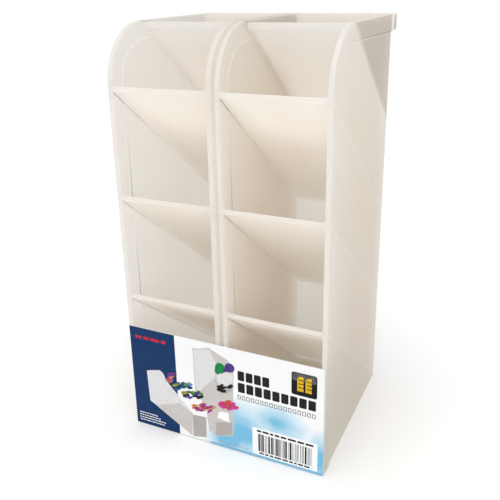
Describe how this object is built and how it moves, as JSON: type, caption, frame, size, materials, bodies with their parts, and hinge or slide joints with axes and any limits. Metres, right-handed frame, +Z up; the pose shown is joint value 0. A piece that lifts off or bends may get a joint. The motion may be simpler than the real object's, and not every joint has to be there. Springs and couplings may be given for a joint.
{
  "type": "desk organizer",
  "caption": "Pair of tall frosted plastic pen towers standing side by side, each with sloping dividers open at the front, and a printed card across the foot.",
  "frame": {"origin": "centre of the bounding box's underside, on the surface that the organizer stands on", "axes": "+Z up along the height; -Y towards the open front; +X to the right as seen from the front"},
  "size_m": [0.1196, 0.1102, 0.23],
  "materials": {
    "frosted_plastic": "frosted, translucent milky white, fine satin grain",
    "printed_card": "coated card with a satin print"
  },
  "bodies": {
    "root": {"left_side_wall_a": "frosted_plastic", "left_side_wall_b": "frosted_plastic", "left_back_wall": "frosted_plastic", "left_top_lip": "frosted_plastic", "left_floor": "frosted_plastic", "left_front_wall": "frosted_plastic", "left_roof_panel": "frosted_plastic", "left_divider_1": "frosted_plastic", "left_divider_2": "frosted_plastic", "left_divider_3": "frosted_plastic", "right_side_wall_a": "frosted_plastic", "right_side_wall_b": "frosted_plastic", "right_back_wall": "frosted_plastic", "right_top_lip": "frosted_plastic", "right_floor": "frosted_plastic", "right_front_wall": "frosted_plastic", "right_roof_panel": "frosted_plastic", "right_divider_1": "frosted_plastic", "right_divider_2": "frosted_plastic", "right_divider_3": "frosted_plastic", "front_label": "printed_card"}
  },
  "joints": []
}
